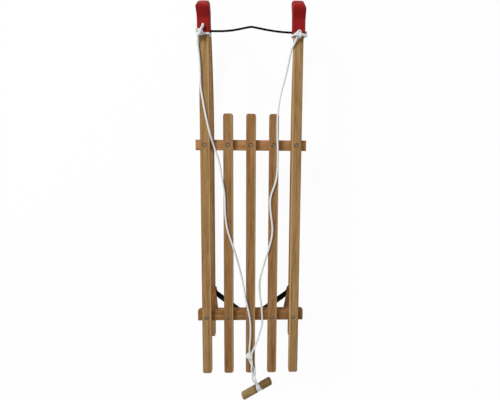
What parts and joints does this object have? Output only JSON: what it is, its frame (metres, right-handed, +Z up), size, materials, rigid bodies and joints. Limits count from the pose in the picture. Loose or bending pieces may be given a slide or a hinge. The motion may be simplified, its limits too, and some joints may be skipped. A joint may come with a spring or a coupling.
{
  "type": "wooden sledge",
  "caption": "Low wooden sledge: slatted seat on bent runners with capped front horns, leaning legs, steel struts and shoes, and a pull cord with a wooden grip.",
  "frame": {"origin": "on the ground, at the middle of the length and width of the sledge without its cord", "axes": "+Z up, +Y towards the horns at the front, +X towards the right side seen from above"},
  "size_m": [0.343, 1.4764, 0.2488],
  "materials": {
    "seat_wood": "clear varnished ash, worn",
    "bent_wood": "clear varnished ash",
    "grip_wood": "bare turned beech, weathered",
    "shoe_steel": "bare, run bright",
    "zinc_steel": "zinc plated",
    "black_steel": "black, satin",
    "red_plastic": "moulded, glossy",
    "white_cord": "braided"
  },
  "bodies": {
    "root": {"seat_slat_left": "seat_wood", "seat_slat_centre": "seat_wood", "seat_slat_right": "seat_wood", "front_crossbar": "seat_wood", "rear_crossbar": "seat_wood", "outer_rail_left": "seat_wood", "runner_left": "bent_wood", "steel_shoe_left": "shoe_steel", "tip_cap_left": "red_plastic", "horn_screw_left": "zinc_steel", "rod_nut_left": "zinc_steel", "rail_knot_left": "white_cord", "cord_left": "white_cord", "shoe_screw_left_1": "zinc_steel", "shoe_screw_left_2": "zinc_steel", "leg_front_left": "bent_wood", "strut_front_left": "black_steel", "strut_foot_screw_front_left": "black_steel", "strut_top_screw_front_left": "black_steel", "leg_rear_left": "bent_wood", "strut_rear_left": "black_steel", "strut_foot_screw_rear_left": "black_steel", "strut_top_screw_rear_left": "black_steel", "outer_rail_right": "seat_wood", "runner_right": "bent_wood", "steel_shoe_right": "shoe_steel", "tip_cap_right": "red_plastic", "horn_screw_right": "zinc_steel", "rod_nut_right": "zinc_steel", "rail_knot_right": "white_cord", "cord_right": "white_cord", "shoe_screw_right_1": "zinc_steel", "shoe_screw_right_2": "zinc_steel", "leg_front_right": "bent_wood", "strut_front_right": "black_steel", "strut_foot_screw_front_right": "black_steel", "strut_top_screw_front_right": "black_steel", "leg_rear_right": "bent_wood", "strut_rear_right": "black_steel", "strut_foot_screw_rear_right": "black_steel", "strut_top_screw_rear_right": "black_steel", "seat_screw_front_1": "zinc_steel", "seat_screw_front_2": "zinc_steel", "seat_screw_front_3": "zinc_steel", "seat_screw_front_4": "zinc_steel", "seat_screw_front_5": "zinc_steel", "seat_screw_rear_1": "zinc_steel", "seat_screw_rear_2": "zinc_steel", "seat_screw_rear_3": "zinc_steel", "seat_screw_rear_4": "zinc_steel", "seat_screw_rear_5": "zinc_steel", "front_stay_rod": "black_steel", "cord_end_knot": "white_cord", "cord_to_grip_under": "white_cord", "cord_to_grip_over": "white_cord", "grip_hitch": "white_cord", "pull_grip": "grip_wood"}
  },
  "joints": []
}
